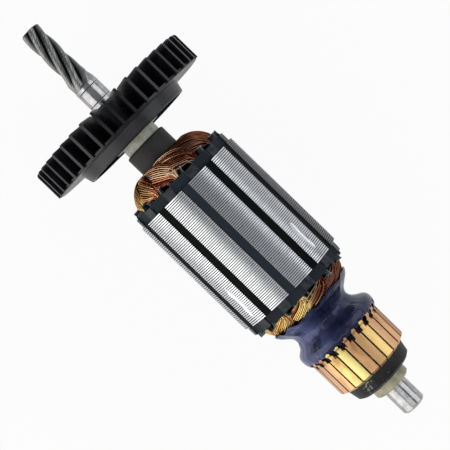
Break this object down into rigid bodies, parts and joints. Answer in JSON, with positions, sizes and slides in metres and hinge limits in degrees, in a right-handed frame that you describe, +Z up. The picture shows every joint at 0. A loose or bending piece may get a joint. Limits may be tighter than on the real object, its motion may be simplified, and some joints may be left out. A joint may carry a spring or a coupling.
{
  "type": "universal motor armature",
  "caption": "Wound rotor of a brushed power-tool motor: shaft with helical pinion, radial cooling fan, slotted laminated core, lap coils and a segmented commutator.",
  "frame": {"origin": "on the shaft axis, in the middle of the drive-end bearing seat", "axes": "+X along the shaft axis towards the pinion, +Z up through the middle of the first slot, +Y completes the right-handed frame"},
  "size_m": [0.1608, 0.059, 0.059],
  "materials": {
    "shaft_steel": "ground",
    "fan_plastic": "moulded, glossy",
    "tube_resin": "glass-fibre resin, matte",
    "sleeve_plastic": "matte",
    "core_steel": "turned over the lamination edges",
    "end_plate_fibre": "matte",
    "slot_paper": "insulating slot paper",
    "wedge_resin": "dark, satin",
    "magnet_wire": "enamelled copper",
    "coating_epoxy": "poured epoxy, glossy",
    "hub_resin": "moulded resin, turned",
    "bar_copper": "turned copper"
  },
  "bodies": {
    "root": {"shaft": "shaft_steel", "fan": "fan_plastic", "insulating_tube": "tube_resin", "drive_end_sleeve": "sleeve_plastic", "core": "core_steel", "end_plate_drive": "end_plate_fibre", "end_plate_commutator": "end_plate_fibre", "slot_wedges": "wedge_resin", "lead_coating": "coating_epoxy", "commutator_hub": "hub_resin", "slot_liner_01": "slot_paper", "slot_liner_02": "slot_paper", "slot_liner_03": "slot_paper", "slot_liner_04": "slot_paper", "slot_liner_05": "slot_paper", "slot_liner_06": "slot_paper", "slot_liner_07": "slot_paper", "slot_liner_08": "slot_paper", "slot_liner_09": "slot_paper", "slot_liner_10": "slot_paper", "slot_liner_11": "slot_paper", "slot_liner_12": "slot_paper", "coil_01": "magnet_wire", "coil_02": "magnet_wire", "coil_03": "magnet_wire", "coil_04": "magnet_wire", "coil_05": "magnet_wire", "coil_06": "magnet_wire", "coil_07": "magnet_wire", "coil_08": "magnet_wire", "coil_09": "magnet_wire", "coil_10": "magnet_wire", "coil_11": "magnet_wire", "coil_12": "magnet_wire", "commutator_bar_01": "bar_copper", "commutator_bar_02": "bar_copper", "commutator_bar_03": "bar_copper", "commutator_bar_04": "bar_copper", "commutator_bar_05": "bar_copper", "commutator_bar_06": "bar_copper", "commutator_bar_07": "bar_copper", "commutator_bar_08": "bar_copper", "commutator_bar_09": "bar_copper", "commutator_bar_10": "bar_copper", "commutator_bar_11": "bar_copper", "commutator_bar_12": "bar_copper", "commutator_bar_13": "bar_copper", "commutator_bar_14": "bar_copper", "commutator_bar_15": "bar_copper", "commutator_bar_16": "bar_copper", "commutator_bar_17": "bar_copper", "commutator_bar_18": "bar_copper", "commutator_bar_19": "bar_copper", "commutator_bar_20": "bar_copper", "commutator_bar_21": "bar_copper", "commutator_bar_22": "bar_copper", "commutator_bar_23": "bar_copper", "commutator_bar_24": "bar_copper"}
  },
  "joints": []
}
